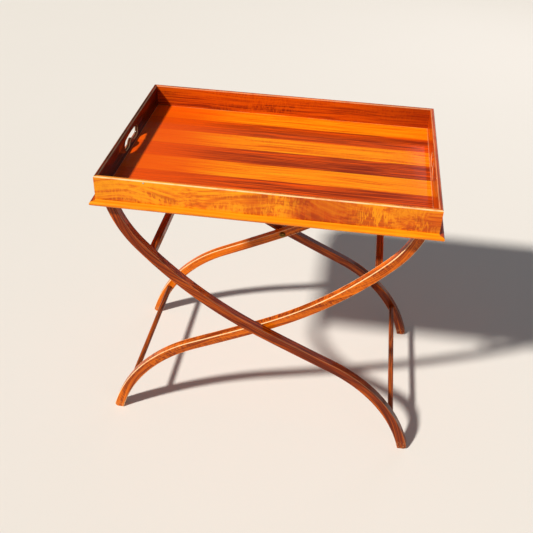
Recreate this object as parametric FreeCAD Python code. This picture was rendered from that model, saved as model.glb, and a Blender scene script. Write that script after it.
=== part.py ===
import FreeCAD, Part
import math
import os

# Folding tray table in mahogany: a lift-off tray with seven floor boards on a folding stand.
# The stand is two nested frames with ogee legs that cross and turn on two brass screws.
# X runs along the tray, Y towards the back, Z up. The origin is on the floor, under the middle.

V = FreeCAD.Vector
UP = V(0, 0, 1)
LONG_WAY = V(1, 0, 0)
BACKWARDS = V(0, 1, 0)

# Overall sizes
TRAY_WIDTH = 660.0
TRAY_DEPTH = 457.0
STAND_HEIGHT = 604.0
FOOT_SPREAD = 688.0

# Tray
SIDE_HEIGHT = 52.0
SIDE_THICKNESS = 8.0
RIM_ROUNDING = 2.6
LIP_PROJECTION = 10.5
LIP_THICKNESS = 9.0
LIP_COVE = 2.4
LIP_PIN_RADIUS = 0.8
LIP_PIN_SUNK = 1.0
LIP_PIN_HOLD = 2.5
LIP_PIN_COUNT = 4
FLOOR_THICKNESS = 8.0
FLOOR_BOARD_COUNT = 7
FLOOR_GROOVE_DEPTH = 4.0
FLOOR_TONGUE_THICKNESS = 4.0
FLOOR_DROP = 5.0
FLOOR_END_GAP = 0.4
HAND_HOLE_LENGTH = 98.0
HAND_HOLE_LOBE_RADIUS = 12.0
HAND_HOLE_ARCH = 2.5
HAND_HOLE_BUMP = 10.0
HAND_HOLE_BUMP_WIDTH = 46.0
HAND_HOLE_BELOW_RIM = 14.5
RIM_PIN_FROM_LEFT = 98.0
RIM_PIN_BELOW_RIM = 4.0
RIM_PIN_RADIUS = 0.8
RIM_PIN_HEAD_RADIUS = 1.6
RIM_PIN_HEAD_HEIGHT = 0.6
RIM_PIN_LENGTH = 5.0

# Legs: each centre line runs from the top, through the crossing, to the foot
LEG_WIDTH = 20.5
LEG_THICKNESS = 19.0
LEG_EDGE_ROUNDING = 1.6
FOOT_WIDTH = 22.5
FOOT_TOE_ROUNDING = 8.0
CROSSING_HEIGHT = 303.5
TOP_SLOPE = 76.0
CROSSING_SLOPE = 27.0
FOOT_SLOPE = 75.0
TOP_CURVE_LEAD = 60.0
LOWER_CURVE_LEAD = 87.0
LEG_TOP_CLEARANCE = 1.0
LEG_TO_TRAY_GAP = 4.8

# Rails and stretchers
UPPER_RAIL_HEIGHT = 476.0
UPPER_RAIL_SIZE = 15.0
UPPER_RAIL_ROUNDING = 1.0
LOWER_STRETCHER_HEIGHT = 91.0
LOWER_STRETCHER_RADIUS = 6.25
TENON_RADIUS = 4.8
TENON_LENGTH = 12.0
TENON_CLEARANCE = 0.05

# Pivots
PIVOT_GAP = 1.0
PIVOT_SHANK_RADIUS = 3.5
PIVOT_THREAD_RADIUS = 2.4
PIVOT_THREAD_LENGTH = 13.0
PIVOT_HEAD_RADIUS = 6.5
PIVOT_HEAD_HEIGHT = 3.2
PIVOT_HEAD_ROUNDING = 1.9
PIVOT_SLOT_WIDTH = 1.2
PIVOT_SLOT_DEPTH = 1.4
PIVOT_CLEARANCE = 0.05
WASHER_RADIUS = 8.0
HEAD_WASHER_THICKNESS = 1.0

# Webbing strap between the upper rails
STRAP_WIDTH = 40.0
STRAP_THICKNESS = 2.0
STRAP_CLEARANCE = 0.2
STRAP_FLAP = 13.0
TACK_COUNT = 3
TACK_HEAD_RADIUS = 3.2
TACK_HEAD_HEIGHT = 1.4
TACK_HEAD_ROUNDING = 1.0
TACK_SHANK_RADIUS = 0.9
TACK_LENGTH = 8.0
TACK_CLEARANCE = 0.05

# Worked out from the sizes above
RIM_HEIGHT = STAND_HEIGHT - FLOOR_DROP + LIP_THICKNESS + SIDE_HEIGHT
TRAY_BOTTOM = STAND_HEIGHT - FLOOR_DROP
FLOOR_TOP = STAND_HEIGHT + FLOOR_THICKNESS
RECESS_HALF_WIDTH = TRAY_WIDTH / 2 - SIDE_THICKNESS
RECESS_HALF_DEPTH = TRAY_DEPTH / 2 - SIDE_THICKNESS
OUTER_FACE_Y = RECESS_HALF_DEPTH - LEG_TO_TRAY_GAP
INNER_FACE_Y = OUTER_FACE_Y - LEG_THICKNESS - PIVOT_GAP


def save(name, shapes):
    """Write one node, as one solid or as a group of separate solids."""
    solids = shapes if isinstance(shapes, list) else [shapes]
    shape = solids[0] if len(solids) == 1 else Part.makeCompound(solids)
    shape.exportStep("parts/" + name + ".step")


def prism(points, direction):
    """Solid with a straight-sided outline, pushed along a vector."""
    outline = Part.makePolygon(points + points[:1])
    return Part.Face(outline).extrude(direction)


def line(start, end):
    return Part.LineSegment(start, end).toShape()


def arc(start, middle, end):
    return Part.Arc(start, middle, end).toShape()


# ---------------------------------------------------------------- tray

def mitred(outline, inner, outer, length):
    """Extrude a moulding's outline along X and mitre both ends at 45 degrees.

    The outline is drawn in Y (0 at the tray's outside face, positive inwards) and Z.
    inner and outer are the outline's two limits in Y."""
    half = length / 2
    bar = Part.Face(outline).extrude(LONG_WAY * (length + 4 * abs(outer)))
    bar.translate(LONG_WAY * (-half - 2 * abs(outer)))
    corners = [
        V(-half + outer, outer, 0),
        V(half - outer, outer, 0),
        V(half - inner, inner, 0),
        V(-half + inner, inner, 0),
    ]
    return bar.common(prism(corners, UP * (RIM_HEIGHT + 1)))


def place_round_tray(piece, side):
    """Move a piece made for the front (y = 0 outside) to one side of the tray."""
    turns = {"front": 0, "right": 90, "rear": 180, "left": 270}
    reach = TRAY_DEPTH / 2 if side in ("front", "rear") else TRAY_WIDTH / 2
    piece = piece.copy()
    piece.translate(V(0, -reach, 0))
    piece.rotate(V(0, 0, 0), UP, turns[side])
    return piece


def side_outline():
    """Section of a tray side: grooved for the floor, with a rounded rim."""
    r = RIM_ROUNDING
    t = SIDE_THICKNESS
    bend = r * (1 - math.sqrt(0.5))
    groove = t - FLOOR_GROOVE_DEPTH
    groove_top = STAND_HEIGHT + FLOOR_TONGUE_THICKNESS
    edges = [
        line(V(0, 0, TRAY_BOTTOM), V(0, 0, RIM_HEIGHT - r)),
        arc(V(0, 0, RIM_HEIGHT - r), V(0, bend, RIM_HEIGHT - bend), V(0, r, RIM_HEIGHT)),
        line(V(0, r, RIM_HEIGHT), V(0, t - r, RIM_HEIGHT)),
        arc(V(0, t - r, RIM_HEIGHT), V(0, t - bend, RIM_HEIGHT - bend), V(0, t, RIM_HEIGHT - r)),
        line(V(0, t, RIM_HEIGHT - r), V(0, t, groove_top)),
        line(V(0, t, groove_top), V(0, groove, groove_top)),
        line(V(0, groove, groove_top), V(0, groove, STAND_HEIGHT)),
        line(V(0, groove, STAND_HEIGHT), V(0, t, STAND_HEIGHT)),
        line(V(0, t, STAND_HEIGHT), V(0, t, TRAY_BOTTOM)),
        line(V(0, t, TRAY_BOTTOM), V(0, 0, TRAY_BOTTOM)),
    ]
    return Part.Wire(edges)


def lip_outline():
    """Section of the lip: a half-round nose with a small cove up to the side."""
    nose = LIP_THICKNESS / 2
    low = TRAY_BOTTOM
    high = TRAY_BOTTOM + LIP_THICKNESS
    out = -LIP_PROJECTION
    cove = LIP_COVE
    bend = cove * (1 - math.sqrt(0.5))
    edges = [
        line(V(0, 0, low), V(0, out + nose, low)),
        arc(V(0, out + nose, low), V(0, out, low + nose), V(0, out + nose, high)),
        line(V(0, out + nose, high), V(0, -cove, high)),
        arc(V(0, -cove, high), V(0, -bend, high + bend), V(0, 0, high + cove)),
        line(V(0, 0, high + cove), V(0, 0, low)),
    ]
    return Part.Wire(edges)


def hand_hole():
    """Kidney-shaped hole through an end: two round lobes, an arched top and a bump below.

    Each flank of the bump is two equal arcs that meet half way up."""
    r = HAND_HOLE_LOBE_RADIUS
    lobe = HAND_HOLE_LENGTH / 2 - r
    top = RIM_HEIGHT - HAND_HOLE_BELOW_RIM
    shoulder = top - HAND_HOLE_ARCH
    middle = shoulder - r
    bottom = middle - r
    foot = HAND_HOLE_BUMP_WIDTH / 2
    rise = HAND_HOLE_BUMP
    flank_radius = (foot ** 2 + rise ** 2) / (4 * rise)
    half_turn = math.asin(foot / 2 / flank_radius) / 2
    swell_x = foot - flank_radius * math.sin(half_turn)
    swell_z = bottom + flank_radius * (1 - math.cos(half_turn))
    shoulders = [V(-lobe, 0, shoulder), V(lobe, 0, shoulder)]
    lows = [V(-lobe, 0, bottom), V(lobe, 0, bottom)]
    feet = [V(-foot, 0, bottom), V(foot, 0, bottom)]
    waists = [V(-foot / 2, 0, bottom + rise / 2), V(foot / 2, 0, bottom + rise / 2)]
    edges = [
        arc(shoulders[0], V(0, 0, top), shoulders[1]),
        arc(shoulders[1], V(lobe + r, 0, middle), lows[1]),
        line(lows[1], feet[1]),
        arc(feet[1], V(swell_x, 0, swell_z), waists[1]),
        arc(waists[1], V(0, 0, bottom + rise), waists[0]),
        arc(waists[0], V(-swell_x, 0, swell_z), feet[0]),
        line(feet[0], lows[0]),
        arc(lows[0], V(-lobe - r, 0, middle), shoulders[0]),
    ]
    return Part.Face(Part.Wire(edges)).extrude(BACKWARDS * SIDE_THICKNESS)


def rim_pin():
    """Small pin in the front side near its left end: a shank with a low round head."""
    face = V(-TRAY_WIDTH / 2 + RIM_PIN_FROM_LEFT, -TRAY_DEPTH / 2, RIM_HEIGHT - RIM_PIN_BELOW_RIM)
    shank = Part.makeCylinder(RIM_PIN_RADIUS, RIM_PIN_LENGTH, face, BACKWARDS)
    head = Part.makeCylinder(RIM_PIN_HEAD_RADIUS, RIM_PIN_HEAD_HEIGHT, face, BACKWARDS * -1)
    return shank.fuse(head), shank


def lip_pins(side, length):
    """Pins from outside, through the lip and into the side, evenly spaced along one side."""
    pins = []
    height = TRAY_BOTTOM + FLOOR_DROP / 2
    depth = LIP_PROJECTION - LIP_PIN_SUNK + LIP_PIN_HOLD
    for i in range(LIP_PIN_COUNT):
        x = length * ((i + 0.5) / LIP_PIN_COUNT - 0.5)
        start = V(x, -LIP_PROJECTION + LIP_PIN_SUNK, height)
        pin = Part.makeCylinder(LIP_PIN_RADIUS, depth, start, BACKWARDS)
        pins.append(place_round_tray(pin, side))
    return pins


def make_tray():
    side = mitred(side_outline(), SIDE_THICKNESS, 0, TRAY_WIDTH)
    end = mitred(side_outline(), SIDE_THICKNESS, 0, TRAY_DEPTH).cut(hand_hole())
    long_lip = mitred(lip_outline(), 0, -LIP_PROJECTION, TRAY_WIDTH)
    short_lip = mitred(lip_outline(), 0, -LIP_PROJECTION, TRAY_DEPTH)
    layout = [
        ("front", "tray_front_side", side, "front_lip", long_lip, TRAY_WIDTH),
        ("rear", "tray_rear_side", side, "rear_lip", long_lip, TRAY_WIDTH),
        ("left", "tray_left_end", end, "left_lip", short_lip, TRAY_DEPTH),
        ("right", "tray_right_end", end, "right_lip", short_lip, TRAY_DEPTH),
    ]
    pin, pin_hole = rim_pin()
    all_pins = []
    for where, wall_name, wall, lip_name, lip, length in layout:
        pins = lip_pins(where, length)
        wall = place_round_tray(wall, where).cut(Part.makeCompound(pins))
        lip = place_round_tray(lip, where).cut(Part.makeCompound(pins))
        if where == "front":
            wall = wall.cut(pin_hole)
        save(wall_name, wall)
        save(lip_name, lip)
        all_pins += pins
    save("lip_pins", all_pins)
    save("rim_pin", pin)
    make_floor()


def floor_slab(half_length, front, rear, thickness):
    corner = V(-half_length, front, STAND_HEIGHT)
    return Part.makeBox(2 * half_length, rear - front, thickness, corner)


def make_floor():
    """Seven boards side by side. A thin tongue all round the floor is housed in the sides' grooves."""
    reach = FLOOR_GROOVE_DEPTH - FLOOR_END_GAP
    pitch = 2 * RECESS_HALF_DEPTH / FLOOR_BOARD_COUNT
    for i in range(FLOOR_BOARD_COUNT):
        front = -RECESS_HALF_DEPTH + i * pitch
        rear = front + pitch
        tongue_front = front - reach if i == 0 else front
        tongue_rear = rear + reach if i == FLOOR_BOARD_COUNT - 1 else rear
        board = floor_slab(RECESS_HALF_WIDTH, front, rear, FLOOR_THICKNESS)
        tongue = floor_slab(RECESS_HALF_WIDTH + reach, tongue_front, tongue_rear, FLOOR_TONGUE_THICKNESS)
        save("floor_board_%d" % (i + 1), board.fuse(tongue).removeSplitter())


# ---------------------------------------------------------------- legs

def downhill(angle):
    """Direction that runs right and down, at an angle in degrees below the horizontal."""
    return V(math.cos(math.radians(angle)), 0, -math.sin(math.radians(angle)))


def upper_normal(direction):
    """Direction square to a downhill direction, on its upper side."""
    return V(-direction.z, 0, direction.x)


class Bend:
    """One arc of a leg's centre line, which leaves start along direction and ends at end."""

    def __init__(self, start, direction, end, start_width, end_width):
        chord = end - start
        normal = upper_normal(direction)
        self.radius = chord.dot(chord) / (2 * chord.dot(normal))
        self.centre = start + normal * self.radius
        self.start = start
        self.end = end
        self.start_width = start_width
        self.end_width = end_width

    def normal_at(self, point):
        return (self.centre - point) * (1 / self.radius)

    def direction_at(self, point):
        normal = self.normal_at(point)
        return V(normal.z, 0, -normal.x)

    def middle(self):
        half = (self.start + self.end) * 0.5 - self.centre
        return self.centre + half.normalize() * abs(self.radius)

    def edge(self, side):
        """The leg's edge beside this bend: side is 1 above and -1 below."""
        middle = self.middle()
        mean_width = (self.start_width + self.end_width) / 2
        return [
            self.start + self.normal_at(self.start) * (side * self.start_width / 2),
            middle + self.normal_at(middle) * (side * mean_width / 2),
            self.end + self.normal_at(self.end) * (side * self.end_width / 2),
        ]

    def point_at_height(self, height):
        rise = height - self.centre.z
        run = math.sqrt(self.radius ** 2 - rise ** 2)
        if self.middle().x < self.centre.x:
            run = -run
        return V(self.centre.x + run, 0, height)


def double_bend(start, direction, end, end_direction, lead, widths):
    """Two arcs that join smoothly between two points. lead is the first arc's tangent length."""
    span = end - start
    turn = direction.dot(end_direction) - 1
    rest = (span.dot(span) / 2 - lead * span.dot(direction)) / (span.dot(end_direction) - lead * turn)
    first = start + direction * lead
    second = end - end_direction * rest
    joint = first + (second - first) * (lead / (lead + rest))
    one = Bend(start, direction, joint, widths[0], widths[1])
    two = Bend(joint, one.direction_at(joint), end, widths[1], widths[2])
    return [one, two]


def leg_bends():
    """Centre line of the leg that runs from top left to bottom right."""
    top_half = LEG_WIDTH / 2 / math.sin(math.radians(TOP_SLOPE))
    top = V(-RECESS_HALF_WIDTH + LEG_TOP_CLEARANCE + top_half, 0, STAND_HEIGHT)
    crossing = V(0, 0, CROSSING_HEIGHT)
    foot = V(FOOT_SPREAD / 2, 0, 0)
    even = (LEG_WIDTH, LEG_WIDTH, LEG_WIDTH)
    tapered = (LEG_WIDTH, LEG_WIDTH, FOOT_WIDTH)
    upper = double_bend(top, downhill(TOP_SLOPE), crossing, downhill(CROSSING_SLOPE),
                        TOP_CURVE_LEAD, even)
    lower = double_bend(crossing, downhill(CROSSING_SLOPE), foot, downhill(FOOT_SLOPE),
                        LOWER_CURVE_LEAD, tapered)
    return upper + lower


def leg_blank():
    """Leg on its centre line, in the plane y = 0 and going backwards, cut level at both ends."""
    bends = leg_bends()
    past_top = bends[0].direction_at(bends[0].start) * -LEG_WIDTH
    past_foot = bends[-1].direction_at(bends[-1].end) * LEG_WIDTH
    upper = [bend.edge(1) for bend in bends]
    lower = [bend.edge(-1) for bend in bends]
    top = [upper[0][0] + past_top, lower[0][0] + past_top]
    foot = [upper[-1][2] + past_foot, lower[-1][2] + past_foot]
    edges = [line(top[1], top[0]), line(top[0], upper[0][0])]
    edges += [arc(*points) for points in upper]
    edges += [line(upper[-1][2], foot[0]), line(foot[0], foot[1]), line(foot[1], lower[-1][2])]
    edges += [arc(points[2], points[1], points[0]) for points in reversed(lower)]
    edges += [line(lower[0][0], top[1])]
    blank = Part.Face(Part.Wire(edges)).extrude(BACKWARDS * LEG_THICKNESS)
    reach = FOOT_SPREAD
    level = Part.makeBox(2 * reach, LEG_THICKNESS, STAND_HEIGHT, V(-reach, 0, 0))
    return rounded_leg(blank.common(level))


def rounded_leg(leg):
    """Round the toe, then ease every arris of the two flat faces except at the level top."""
    across = [edge for edge in leg.Edges if edge.BoundBox.YLength > LEG_THICKNESS / 2]
    on_floor = [edge for edge in across if edge.BoundBox.ZMax < LEG_EDGE_ROUNDING]
    toe = max(on_floor, key=lambda edge: edge.CenterOfMass.x)
    leg = leg.makeFillet(FOOT_TOE_ROUNDING, [toe])
    arrises = [edge for edge in leg.Edges if edge.BoundBox.YLength < LEG_EDGE_ROUNDING
               and edge.BoundBox.ZMin < STAND_HEIGHT - LEG_EDGE_ROUNDING]
    return leg.makeFillet(LEG_EDGE_ROUNDING, arrises)


def point_on_leg(height):
    """Point of the leg's centre line at a height."""
    for bend in leg_bends():
        if bend.start.z >= height >= bend.end.z:
            return bend.point_at_height(height)
    raise ValueError("no point of the leg at height %g" % height)


def mirrored(shape, across):
    return shape.mirror(V(0, 0, 0), across)


# ---------------------------------------------------------------- frames

def upper_rail(centre, half_length):
    """Square rail along Y with a round tenon on each end."""
    size = UPPER_RAIL_SIZE
    corner = V(centre.x - size / 2, -half_length, centre.z - size / 2)
    rail = Part.makeBox(size, 2 * half_length, size, corner)
    arrises = [edge for edge in rail.Edges if edge.BoundBox.YLength > size * 1.5]
    rail = rail.makeFillet(UPPER_RAIL_ROUNDING, arrises)
    return rail.fuse(tenon_rod(centre, half_length))


def lower_stretcher(centre, half_length):
    """Round stretcher along Y with a thinner tenon on each end."""
    start = V(centre.x, -half_length, centre.z)
    bar = Part.makeCylinder(LOWER_STRETCHER_RADIUS, 2 * half_length, start, BACKWARDS)
    return bar.fuse(tenon_rod(centre, half_length))


def tenon_rod(centre, half_length, clearance=0.0):
    """Rod between two legs that reaches into both, as the tenons or as their sockets."""
    reach = half_length + TENON_LENGTH + clearance
    start = V(centre.x, -reach, centre.z)
    return Part.makeCylinder(TENON_RADIUS + clearance, 2 * reach, start, BACKWARDS)


def pivot_hole(radius, near, far):
    """Hole along Y at the crossing, between two depths."""
    return Part.makeCylinder(radius, far - near, V(0, near, CROSSING_HEIGHT), BACKWARDS)


def make_frame(name, face_y, pivot_bore):
    """One frame: two legs, an upper rail and a lower stretcher.

    The pieces are made for the outer frame, whose upper rail is on the left. The inner
    frame is the same turned left to right, with its own depth and pivot bore."""
    rail_at = point_on_leg(UPPER_RAIL_HEIGHT)
    bar_at = point_on_leg(LOWER_STRETCHER_HEIGHT)
    half_length = face_y - LEG_THICKNESS
    sockets = [tenon_rod(at, half_length, TENON_CLEARANCE) for at in (rail_at, bar_at)]
    front_leg = leg_blank()
    front_leg.translate(V(0, -face_y, 0))
    front_leg = front_leg.cut(Part.makeCompound(sockets + [pivot_bore]))
    pieces = {
        "front_leg": front_leg,
        "rear_leg": mirrored(front_leg, BACKWARDS),
        "upper_rail": upper_rail(rail_at, half_length).cut(Part.makeCompound(tack_holes())),
        "lower_stretcher": lower_stretcher(bar_at, half_length),
    }
    for piece, shape in pieces.items():
        if name == "inner":
            shape = mirrored(shape, LONG_WAY)
        save("%s_%s" % (name, piece), shape)


def pivot_screw():
    """Shouldered screw at the front crossing, put in from behind the inner leg.

    Its shoulder carries the inner leg and its thread ends inside the outer leg."""
    leg_face = -OUTER_FACE_Y + LEG_THICKNESS
    head_at = -INNER_FACE_Y + LEG_THICKNESS + HEAD_WASHER_THICKNESS
    thread = pivot_hole(PIVOT_THREAD_RADIUS, leg_face - PIVOT_THREAD_LENGTH, leg_face)
    shoulder = pivot_hole(PIVOT_SHANK_RADIUS, leg_face, head_at)
    head = pivot_hole(PIVOT_HEAD_RADIUS, head_at, head_at + PIVOT_HEAD_HEIGHT)
    rim = [edge for edge in head.Edges if edge.BoundBox.YMin > head_at + PIVOT_HEAD_HEIGHT / 2]
    head = head.makeFillet(PIVOT_HEAD_ROUNDING, rim)
    slot_at = V(-PIVOT_HEAD_RADIUS, head_at + PIVOT_HEAD_HEIGHT - PIVOT_SLOT_DEPTH,
                CROSSING_HEIGHT - PIVOT_SLOT_WIDTH / 2)
    slot = Part.makeBox(2 * PIVOT_HEAD_RADIUS, PIVOT_SLOT_DEPTH, PIVOT_SLOT_WIDTH, slot_at)
    return thread.fuse([shoulder, head]).cut(slot)


def washer(near, thickness):
    hole = pivot_hole(PIVOT_SHANK_RADIUS + PIVOT_CLEARANCE, near, near + thickness)
    return pivot_hole(WASHER_RADIUS, near, near + thickness).cut(hole)


def make_pivots():
    front = pivot_screw()
    save("front_pivot_screw", front)
    save("rear_pivot_screw", mirrored(front, BACKWARDS))
    between = washer(-OUTER_FACE_Y + LEG_THICKNESS, PIVOT_GAP)
    under_head = washer(-INNER_FACE_Y + LEG_THICKNESS, HEAD_WASHER_THICKNESS)
    rear = [mirrored(ring, BACKWARDS) for ring in (between, under_head)]
    save("pivot_washers", [between, under_head] + rear)


def make_frames():
    leg_face = -OUTER_FACE_Y + LEG_THICKNESS
    thread_bore = pivot_hole(PIVOT_THREAD_RADIUS + PIVOT_CLEARANCE,
                             leg_face - PIVOT_THREAD_LENGTH - PIVOT_CLEARANCE, leg_face)
    shank_bore = pivot_hole(PIVOT_SHANK_RADIUS + PIVOT_CLEARANCE,
                            -INNER_FACE_Y, -INNER_FACE_Y + LEG_THICKNESS)
    make_frame("outer", OUTER_FACE_Y, thread_bore)
    make_frame("inner", INNER_FACE_Y, shank_bore)


# ---------------------------------------------------------------- strap

def strap_face():
    """The x of the strap's outside face beside the outer frame's rail."""
    rail_x = point_on_leg(UPPER_RAIL_HEIGHT).x
    return rail_x - UPPER_RAIL_SIZE / 2 - STRAP_CLEARANCE - STRAP_THICKNESS


def tacks():
    """Tacks through the strap's flap into the outer frame's rail, in a row across the strap."""
    shapes = []
    for y in tack_places():
        face = V(strap_face(), y, tack_height())
        shank = Part.makeCylinder(TACK_SHANK_RADIUS, TACK_LENGTH, face, LONG_WAY)
        head = Part.makeCylinder(TACK_HEAD_RADIUS, TACK_HEAD_HEIGHT, face, LONG_WAY * -1)
        rim = [edge for edge in head.Edges if edge.BoundBox.XMax < face.x - TACK_HEAD_HEIGHT / 2]
        shapes.append(shank.fuse(head.makeFillet(TACK_HEAD_ROUNDING, rim)))
    return shapes


def tack_places():
    spacing = STRAP_WIDTH / TACK_COUNT
    return [spacing * (i - (TACK_COUNT - 1) / 2) for i in range(TACK_COUNT)]


def tack_height():
    return UPPER_RAIL_HEIGHT + UPPER_RAIL_SIZE / 2 - STRAP_FLAP / 2


def tack_holes():
    """Holes for the tacks in the flap and the rail."""
    radius = TACK_SHANK_RADIUS + TACK_CLEARANCE
    length = TACK_LENGTH + TACK_CLEARANCE
    start_x = strap_face()
    return [Part.makeCylinder(radius, length, V(start_x, y, tack_height()), LONG_WAY)
            for y in tack_places()]


def make_strap():
    """Flat webbing over both rails, with a flap down the outside of each."""
    outside = -strap_face()
    inside = outside - STRAP_THICKNESS
    under = UPPER_RAIL_HEIGHT + UPPER_RAIL_SIZE / 2 + STRAP_CLEARANCE
    over = under + STRAP_THICKNESS
    flap_end = under - STRAP_FLAP
    half = STRAP_WIDTH / 2
    outline = [(-outside, flap_end), (-outside, over), (outside, over), (outside, flap_end),
               (inside, flap_end), (inside, under), (-inside, under), (-inside, flap_end)]
    strap = prism([V(x, -half, z) for x, z in outline], BACKWARDS * STRAP_WIDTH)
    outer_tacks = tacks()
    inner_tacks = [mirrored(tack, LONG_WAY) for tack in outer_tacks]
    holes = tack_holes()
    holes += [mirrored(hole, LONG_WAY) for hole in holes]
    save("strap", strap.cut(Part.makeCompound(holes)))
    save("outer_strap_tacks", outer_tacks)
    save("inner_strap_tacks", inner_tacks)


os.makedirs("parts", exist_ok=True)
make_tray()
make_frames()
make_pivots()
make_strap()
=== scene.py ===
import math

import bpy
from bpy.props import FloatProperty, FloatVectorProperty, PointerProperty
from mathutils import Matrix, Vector


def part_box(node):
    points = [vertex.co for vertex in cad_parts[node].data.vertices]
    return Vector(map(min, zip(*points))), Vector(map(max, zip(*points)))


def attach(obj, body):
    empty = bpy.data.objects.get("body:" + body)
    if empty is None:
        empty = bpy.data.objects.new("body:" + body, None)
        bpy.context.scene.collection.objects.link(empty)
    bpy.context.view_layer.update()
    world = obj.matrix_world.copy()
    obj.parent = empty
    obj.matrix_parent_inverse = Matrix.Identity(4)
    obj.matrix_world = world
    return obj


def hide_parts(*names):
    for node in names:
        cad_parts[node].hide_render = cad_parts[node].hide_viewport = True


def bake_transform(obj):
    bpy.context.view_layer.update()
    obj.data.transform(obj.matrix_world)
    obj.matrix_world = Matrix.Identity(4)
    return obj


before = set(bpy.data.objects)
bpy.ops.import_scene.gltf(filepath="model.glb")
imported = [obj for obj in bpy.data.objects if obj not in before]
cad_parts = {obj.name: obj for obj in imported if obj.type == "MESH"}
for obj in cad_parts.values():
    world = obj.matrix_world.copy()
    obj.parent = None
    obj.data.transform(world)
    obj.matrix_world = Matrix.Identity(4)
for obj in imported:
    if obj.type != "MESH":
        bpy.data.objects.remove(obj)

# Finishes, eased hand holes, webbing strap and studio for a folding mahogany tray table.
# The CAD frame gives every place and size. Lengths are in metres.

bl_info = {
    "name": "Folding Tray Table",
    "version": (1, 0, 0),
    "blender": (4, 5, 0),
    "location": "3D View > Sidebar > Tray Table",
    "description": "Finishes, hand holes, strap and studio for a folding mahogany tray table",
    "category": "Object",
}

MM = 0.001
FLOOR_BOARDS = ["floor_board_%d" % n for n in range(1, 8)]


def linear(hex_code):
    """An sRGB hex colour as linear red, green and blue."""
    parts = [int(hex_code[i:i + 2], 16) / 255 for i in (1, 3, 5)]
    return tuple(c / 12.92 if c <= 0.04045 else ((c + 0.055) / 1.055) ** 2.4 for c in parts)


def tint(name, description, hex_code):
    """A colour setting."""
    return FloatVectorProperty(name=name, description=description, subtype="COLOR",
                               min=0, max=1, default=linear(hex_code))


def length(name, description, millimetres):
    """A length setting."""
    return FloatProperty(name=name, description=description, unit="LENGTH", min=0,
                         default=millimetres * MM, precision=4)


# ---------------------------------------------------------------- settings

class TrayFinish(bpy.types.PropertyGroup):
    """Woods of the tray."""
    gold: tint("Golden figure", "Bright bands of the front side", "#F29A10")
    amber: tint("Amber wood", "Main colour of the front side", "#E07008")
    russet: tint("Russet streaks", "Dark streaks of the front side", "#BE5608")
    red: tint("Red wood", "Main colour of the rear side", "#C24606")
    deep_red: tint("Deep red grain", "Darkest grain of the red wood", "#7E2508")
    # the left end's dark colours are painted shade: they stand for the shade inside the tray's left end
    end: tint("Left end", "Main colour of the left end", "#4E1A07")
    shaded_end_grain: tint("Left end grain", "Dark grain of the left end", "#2C0C03")
    light_board: tint("Light boards", "Main colour of the light floor boards", "#FF8606")
    light_board_grain: tint("Light board grain", "Grain of the light floor boards", "#D85A04")
    dark_board: tint("Dark boards", "Main colour of the dark floor boards", "#AC3E0E")
    dark_board_grain: tint("Dark board grain", "Grain of the dark floor boards", "#84260A")
    sunned: tint("Sunned wood", "Colour that all boards share near the left end", "#EA5204")
    # painted highlight: the pale line along where the floor meets the walls
    corner_highlight: tint("Corner highlight", "Painted highlight where the floor meets the walls", "#E9A878")
    # painted highlight along the arrises, with some rubbed wear
    arris_highlight_and_wear: tint("Arris highlight and wear", "Painted highlight along the arrises, with some wood rubbed bare", "#FFD9A2")
    scuffed: tint("Scuffs", "Wood where the polish is scuffed off the feet", "#C99A66")
    ripple: length("Ripple spacing", "From one band of the ripple figure to the next", 5.0)
    board: length("Board width", "How far apart the grain of the floor starts afresh", 63.0)


class StandFinish(bpy.types.PropertyGroup):
    """Woods and brass of the stand."""
    outer: tint("Outer legs", "Main colour of the outer frame", "#7E2C03")
    outer_grain: tint("Outer leg grain", "Grain of the outer frame", "#541802")
    inner: tint("Inner legs", "Main colour of the inner frame", "#BE5606")
    inner_grain: tint("Inner leg grain", "Grain of the inner frame", "#7C2C03")
    rail: tint("Rails", "Main colour of the rails and stretchers", "#84401A")
    rail_grain: tint("Rail grain", "Grain of the rails and stretchers", "#52200B")
    brass: tint("Brass", "Bare brass", "#B98F45")
    tarnish: tint("Tarnish", "Brown film on the brass", "#4E3316")
    steel: tint("Pin steel", "Bare steel of the pins", "#C9C8C4")
    rust: tint("Rust", "Rust on the pins", "#7A4A2C")


class StrapFinish(bpy.types.PropertyGroup):
    """Webbing strap."""
    thickness: length("Thickness", "Thickness of the webbing", 1.6)
    sag: length("Sag", "How far the middle of the strap hangs", 1.2)
    thread: length("Thread spacing", "From one thread of the weave to the next", 1.25)
    corner: length("Corner radius", "Bend of the strap over a rail", 1.9)
    yarn: tint("Yarn", "Jute yarn of the webbing", "#A58A63")
    pale_fibre: tint("Pale fibres", "Palest fibres of the yarn", "#C9B48C")
    stain: tint("Stains", "Brown stains on the webbing", "#7E6440")
    shade: tint("Between threads", "Dirt and shade between the threads", "#5B4529")


class StudioSettings(bpy.types.PropertyGroup):
    """Floor and lights."""
    ground: tint("Floor", "Pale studio floor", "#E2E0DC")
    ground_shade: tint("Floor mottle", "Slightly darker patches of the floor", "#DCDAD5")
    key_colour: tint("Key colour", "Colour of the key light", "#FFF8EE")
    fill_colour: tint("Fill colour", "Colour of the fill light", "#F2F5FF")
    sheen_colour: tint("Sheen colour", "Colour of the light behind", "#F4F0FF")
    sky_colour: tint("Sky colour", "Colour of the even light all round", "#F4F6FA")
    key_strength: FloatProperty(name="Key light", description="Strength of the key light",
                                min=0, default=4.5)
    key_spread: FloatProperty(name="Key spread",
                              description="How wide the key light looks, which softens shadows",
                              subtype="ANGLE", unit="ROTATION", min=0, default=math.radians(4.5))
    fill_power: FloatProperty(name="Fill light", description="Power of the fill light",
                              subtype="POWER", unit="POWER", min=0, default=7)
    sheen_power: FloatProperty(name="Sheen light", description="Power of the light behind",
                               subtype="POWER", unit="POWER", min=0, default=7)
    sky: FloatProperty(name="Sky", description="Strength of the even light all round",
                       min=0, default=0.14)


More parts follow.
